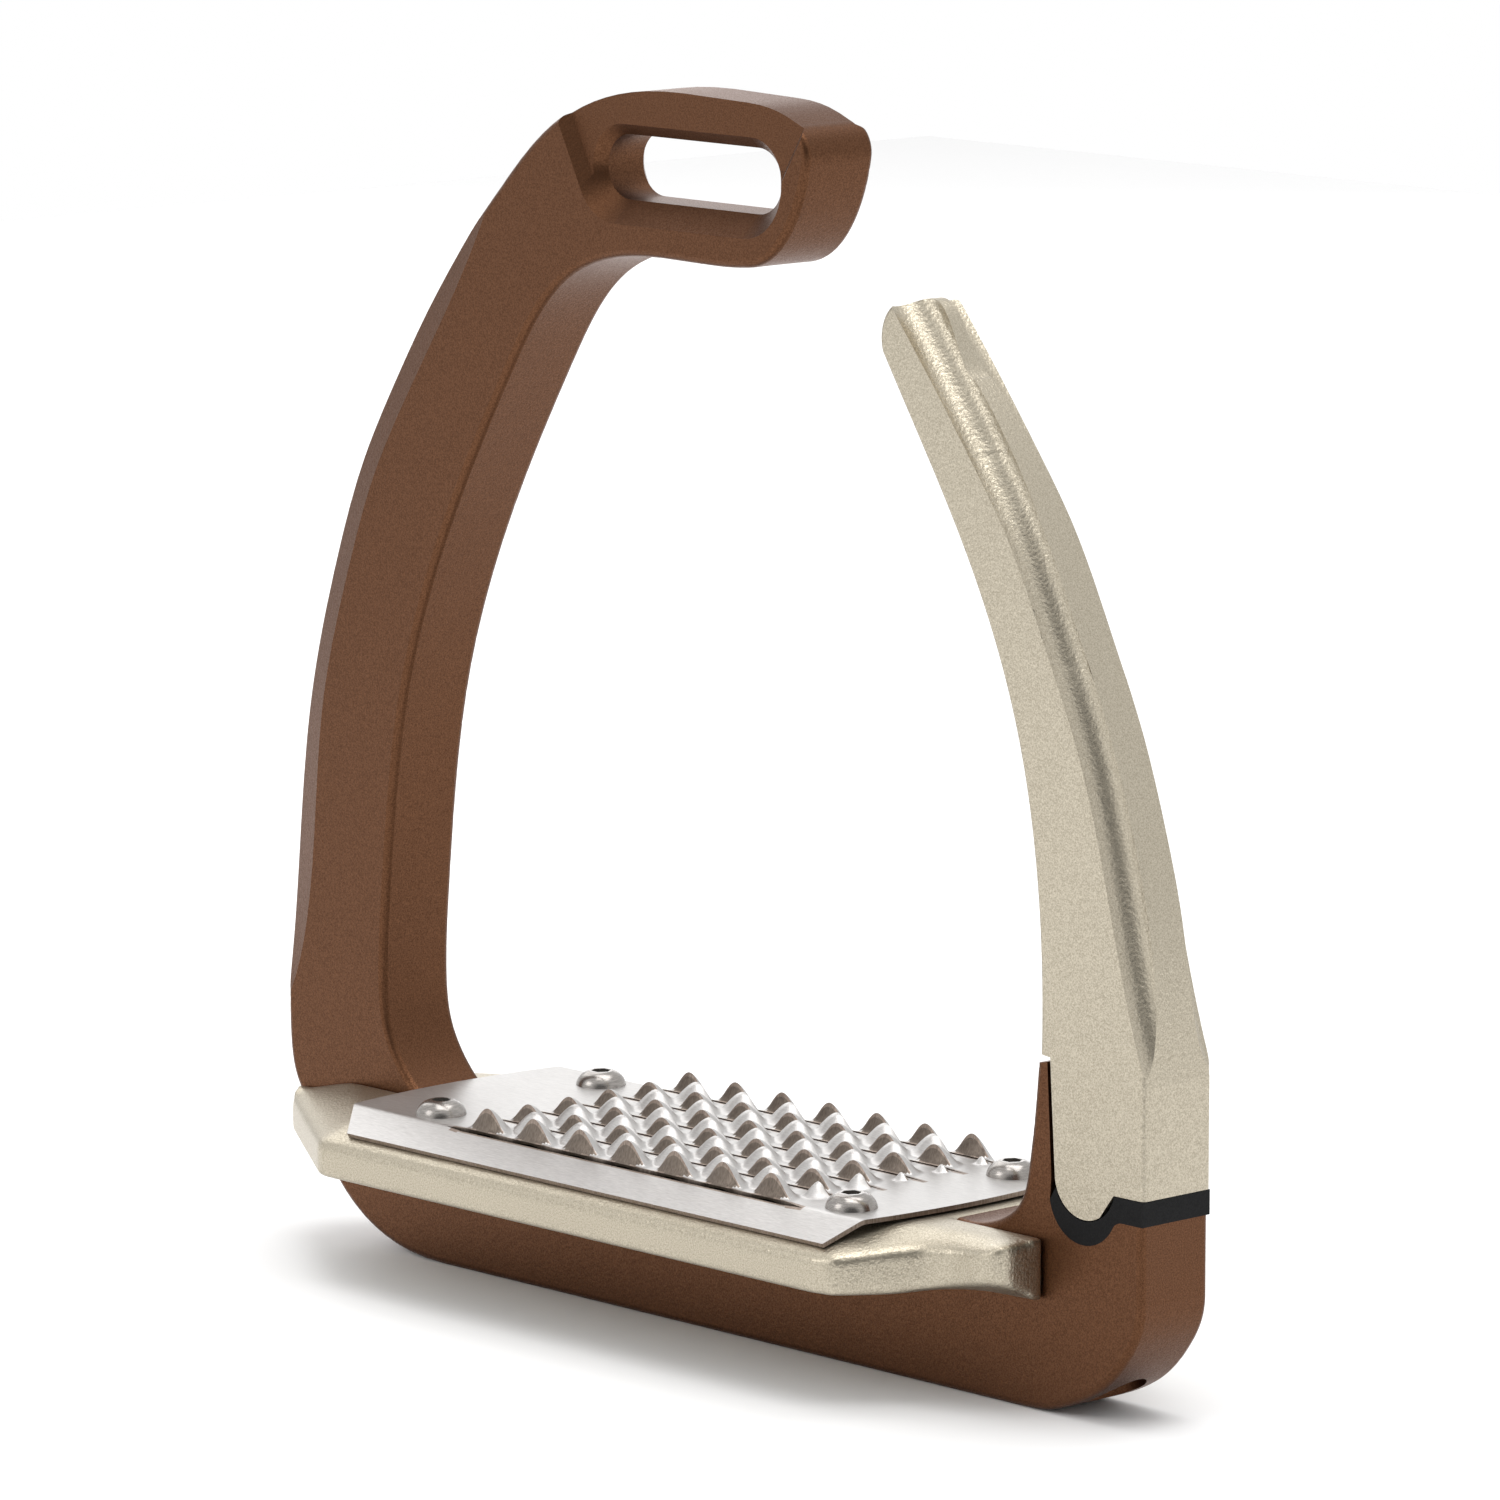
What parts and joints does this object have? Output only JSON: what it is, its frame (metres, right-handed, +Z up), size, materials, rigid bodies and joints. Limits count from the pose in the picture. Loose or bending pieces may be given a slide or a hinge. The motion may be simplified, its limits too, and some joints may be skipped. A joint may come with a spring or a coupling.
{
  "type": "safety stirrup iron",
  "caption": "Riding stirrup iron with a slotted eye, a wide tread with a toothed grip plate, and a sprung outer arm that tips outwards to free the foot.",
  "frame": {"origin": "middle of the underside, on the surface that the base stands on", "axes": "+Z up through the eye, +X from the solid branch to the release arm, +Y through the stirrup from front to back"},
  "size_m": [0.162, 0.05, 0.1591],
  "materials": {
    "brown_anodised": "bead-blasted and anodised satin bronze brown",
    "champagne_anodised": "bead-blasted and anodised satin champagne",
    "black_polymer": "matt moulded",
    "black_underlay": "matt sheet",
    "grip_steel": "pressed stainless sheet, satin",
    "polished_steel": "polished stainless",
    "plain_steel": "turned, plain",
    "wire_steel": "stranded wire rope",
    "spring_steel": "drawn spring wire",
    "bush_brass": "turned, plain"
  },
  "bodies": {
    "stirrup": {"frame": "brown_anodised", "arm_seat_pad": "black_polymer", "tread": "champagne_anodised", "grip_underlay": "black_underlay", "grip_plate": "grip_steel", "grip_plate_screws": "polished_steel", "tread_bolts": "plain_steel", "tread_bolt_inserts": "plain_steel", "tension_wire": "wire_steel", "wire_stud": "plain_steel", "anchor_washer": "plain_steel", "tension_nut": "plain_steel", "lock_nut": "plain_steel", "wire_guide_bush": "bush_brass"},
    "arm": {"release_arm": "champagne_anodised", "arm_plug": "plain_steel", "tension_spring": "spring_steel"},
    "wire_end": {"spring_cup": "plain_steel", "wire_ferrule": "wire_steel"}
  },
  "joints": [
    {"name": "arm_release", "type": "hinge", "parent": "stirrup", "child": "arm", "pos_m": [0.0807, 0, 0.02935], "axis": [0, 1, 0], "range_deg": [0, 90], "stiffness_Nm_per_rad": 0.35, "springref_deg": -97.98, "deforming": ["tension_wire"]},
    {"name": "wire_pull", "type": "slide", "parent": "arm", "child": "wire_end", "axis": [0, 0, -1], "range_m": [0, 0.0135], "deforming": ["tension_spring"]}
  ],
  "couplings": [
    {"joint": "wire_pull", "follows": "arm_release", "m_per_rad": 0.0085}
  ]
}
